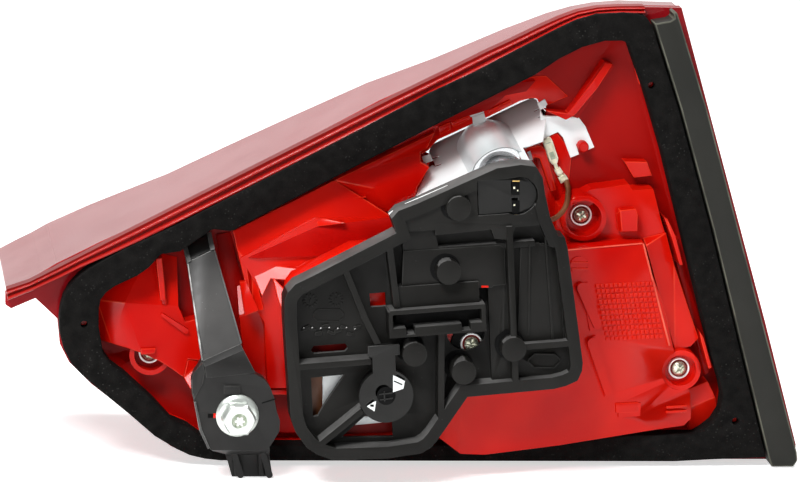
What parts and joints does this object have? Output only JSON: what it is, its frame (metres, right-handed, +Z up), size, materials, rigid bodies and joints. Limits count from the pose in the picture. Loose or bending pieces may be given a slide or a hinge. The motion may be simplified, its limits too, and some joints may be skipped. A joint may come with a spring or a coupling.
{
  "type": "vehicle reversing light",
  "caption": "Inner tail lamp with reversing bulb, seen from its mounting side: red lens, foam gasket, bulb carrier, heat shield and clamp bracket.",
  "frame": {"origin": "on the clamp bolt's axis, in the plane of the foam gasket's free face that presses on the car body", "axes": "+X along the lamp towards its tall end, +Y into the lamp towards its lens, +Z up"},
  "size_m": [0.2712, 0.1076, 0.1566],
  "materials": {
    "outer_lens": "glossy translucent red",
    "reversing_window": "clear",
    "housing": "moulded red",
    "foam_gasket": "fine-grained foam",
    "side_trim": "moulded",
    "mounting_bracket": "dark coated steel",
    "flange_bolt": "zinc plated",
    "threaded_insert": "turned",
    "screw_1": "zinc plated",
    "screw_2": "zinc plated",
    "screw_3": "zinc plated",
    "screw_4": "zinc plated",
    "bulb_carrier": "moulded",
    "reversing_bulb_holder": "moulded",
    "tail_bulb_holder": "moulded",
    "reversing_bulb": "clear",
    "tail_bulb": "clear",
    "earth_strip": "stamped",
    "reversing_strip": "stamped",
    "tail_strip": "stamped",
    "heat_shield": "pressed sheet",
    "reversing_reflector": "bright",
    "tail_reflector": "bright",
    "lead_terminal": "tinned",
    "earth_lead": "covered wire"
  },
  "bodies": {
    "root": {"outer_lens": "outer_lens", "reversing_window": "reversing_window", "housing": "housing", "foam_gasket": "foam_gasket", "side_trim": "side_trim", "mounting_bracket": "mounting_bracket", "flange_bolt": "flange_bolt", "threaded_insert": "threaded_insert", "screw_1": "screw_1", "screw_2": "screw_2", "screw_3": "screw_3", "screw_4": "screw_4", "bulb_carrier": "bulb_carrier", "reversing_bulb_holder": "reversing_bulb_holder", "tail_bulb_holder": "tail_bulb_holder", "reversing_bulb": "reversing_bulb", "tail_bulb": "tail_bulb", "earth_strip": "earth_strip", "reversing_strip": "reversing_strip", "tail_strip": "tail_strip", "heat_shield": "heat_shield", "reversing_reflector": "reversing_reflector", "tail_reflector": "tail_reflector", "lead_terminal": "lead_terminal", "earth_lead": "earth_lead"}
  },
  "joints": []
}
